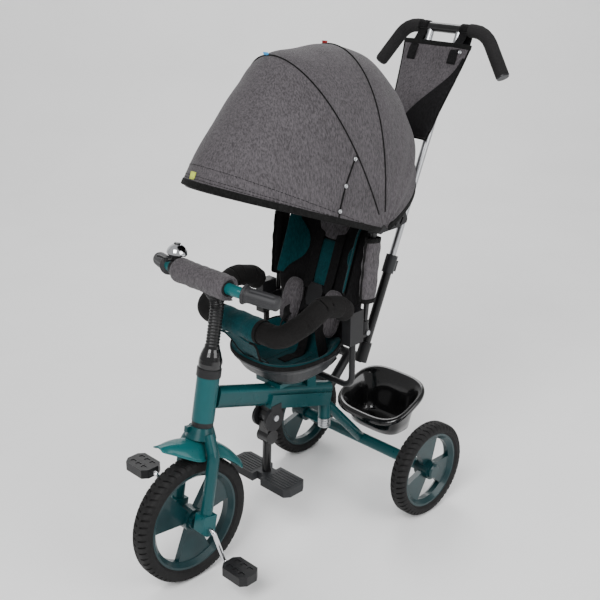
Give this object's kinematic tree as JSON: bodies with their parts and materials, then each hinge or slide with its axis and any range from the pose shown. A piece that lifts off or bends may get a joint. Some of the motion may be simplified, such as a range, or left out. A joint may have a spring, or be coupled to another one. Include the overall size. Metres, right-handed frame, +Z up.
{
  "type": "children's tricycle",
  "caption": "Child's ride-on tricycle with a parent push handle, folding canopy, safety bar, fold-away footrest, pedals on the front wheel and a rear basket.",
  "frame": {"origin": "on the ground, midway between the sides and between the front and rear ends of the whole tricycle", "axes": "+Z up, front of the tricycle towards -Y, +X towards the rider's left"},
  "size_m": [0.464, 0.9696, 1.1055],
  "materials": {
    "bar_paint": "gloss enamel",
    "black_fabric": "woven",
    "black_metal": "satin black coat",
    "black_plastic": "fine moulded grain",
    "chrome": "bright",
    "dark_cap": "satin",
    "foam": "closed-cell foam",
    "gloss_black": "polished",
    "grey_fabric": "melange weave",
    "grey_rubber": "ribbed",
    "rubber": "matt",
    "silver": "satin tube",
    "steel": "bright drawn",
    "teal_fabric": "woven",
    "teal_paint": "gloss enamel",
    "teal_plastic": "moulded",
    "tyre": "moulded foam tread"
  },
  "bodies": {
    "frame": {"main_frame": "teal_paint", "head_bushes": "black_plastic", "rear_axle": "steel", "post_spring": "rubber", "basket": "gloss_black", "footrest_bracket": "black_metal", "seat_pan": "black_plastic", "seat_frame": "black_metal", "side_blocks": "black_plastic", "seat_cushion": "teal_fabric", "backrest": "black_fabric", "back_bolsters": "grey_fabric", "harness": "black_fabric", "buckle": "black_plastic", "posts": "black_metal", "post_sleeves": "grey_fabric", "leg_sockets": "black_metal", "socket_clips": "black_plastic", "socket_base": "black_metal", "canopy_brackets": "black_plastic", "rear_bow": "black_plastic", "canopy": "grey_fabric", "fasteners": "chrome"},
    "fork": {"fork": "teal_paint", "fork_ends": "black_plastic", "fender": "teal_paint", "stem_cap": "gloss_black", "bellows": "rubber", "stem": "black_metal", "handlebar": "bar_paint", "handlebar_grips": "grey_rubber", "bar_pad": "grey_fabric", "bell_base": "black_plastic", "bell_dome": "chrome"},
    "cap_lever": {"cap_lever": "gloss_black"},
    "bell_lever": {"bell_lever": "black_plastic"},
    "front_wheel": {"front_tyre": "tyre", "front_rim": "teal_plastic", "crank": "chrome"},
    "clutch_knob": {"clutch_knob": "black_plastic"},
    "left_pedal": {"left_pedal": "black_plastic"},
    "right_pedal": {"right_pedal": "black_plastic"},
    "left_wheel": {"left_rear_tyre": "tyre", "left_rear_rim": "teal_plastic", "left_hub_cap": "dark_cap"},
    "right_wheel": {"right_rear_tyre": "tyre", "right_rear_rim": "teal_plastic", "right_hub_cap": "dark_cap"},
    "footrest": {"footrest_stem": "black_plastic", "footrest_pads": "grey_rubber"},
    "safety_bar": {"safety_bar": "steel", "safety_foam": "foam", "safety_sleeve": "teal_fabric"},
    "push_handle": {"push_legs": "silver", "push_crossbar": "black_metal", "push_grips": "foam", "grip_plugs": "dark_cap", "parent_bag": "grey_fabric"},
    "front_bow": {"front_bow": "black_plastic"},
    "middle_bow": {"middle_bow": "black_plastic"}
  },
  "joints": [
    {"name": "steering", "type": "hinge", "parent": "frame", "child": "fork", "pos_m": [0, -0.34275, 0.142], "axis": [0, 0.1994, 0.9799], "range_deg": [-35, 35]},
    {"name": "cap_lever_hinge", "type": "hinge", "parent": "fork", "child": "cap_lever", "pos_m": [0, -0.25241, 0.49324], "axis": [1, 0, 0], "range_deg": [0, 40]},
    {"name": "bell_lever_hinge", "type": "hinge", "parent": "fork", "child": "bell_lever", "pos_m": [-0.088, -0.30605, 0.69856], "axis": [0, -0.1994, -0.9799], "range_deg": [0, 25], "stiffness_Nm_per_rad": 0.02, "springref_deg": -17.19},
    {"name": "front_wheel_spin", "type": "hinge", "parent": "fork", "child": "front_wheel", "pos_m": [0, -0.34275, 0.142], "axis": [1, 0, 0], "continuous": true},
    {"name": "clutch_slide", "type": "slide", "parent": "front_wheel", "child": "clutch_knob", "axis": [1, 0, 0], "range_m": [0, 0.004]},
    {"name": "left_pedal_spin", "type": "hinge", "parent": "front_wheel", "child": "left_pedal", "pos_m": [0.135, -0.32475, 0.06405], "axis": [1, 0, 0], "continuous": true},
    {"name": "right_pedal_spin", "type": "hinge", "parent": "front_wheel", "child": "right_pedal", "pos_m": [-0.135, -0.36075, 0.21995], "axis": [1, 0, 0], "continuous": true},
    {"name": "left_wheel_spin", "type": "hinge", "parent": "frame", "child": "left_wheel", "pos_m": [0.205, 0.20725, 0.115], "axis": [1, 0, 0], "continuous": true},
    {"name": "right_wheel_spin", "type": "hinge", "parent": "frame", "child": "right_wheel", "pos_m": [-0.205, 0.20725, 0.115], "axis": [1, 0, 0], "continuous": true},
    {"name": "footrest_hinge", "type": "hinge", "parent": "frame", "child": "footrest", "pos_m": [0, -0.11075, 0.302], "axis": [1, 0, 0], "range_deg": [0, 55]},
    {"name": "safety_bar_slide", "type": "slide", "parent": "frame", "child": "safety_bar", "axis": [0, -0.7526, 0.6585], "range_m": [0, 0.03]},
    {"name": "push_handle_slide", "type": "slide", "parent": "frame", "child": "push_handle", "axis": [0, 0.3987, 0.9171], "range_m": [-0.05, 0]},
    {"name": "front_bow_hinge", "type": "hinge", "parent": "frame", "child": "front_bow", "pos_m": [0, 0.07325, 0.726], "axis": [-1, 0, 0], "range_deg": [0, 55], "deforming": ["canopy"]},
    {"name": "middle_bow_hinge", "type": "hinge", "parent": "frame", "child": "middle_bow", "pos_m": [0, 0.07325, 0.726], "axis": [-1, 0, 0], "range_deg": [0, 20]}
  ],
  "couplings": [
    {"joint": "middle_bow_hinge", "follows": "front_bow_hinge", "ratio": 0.36}
  ]
}
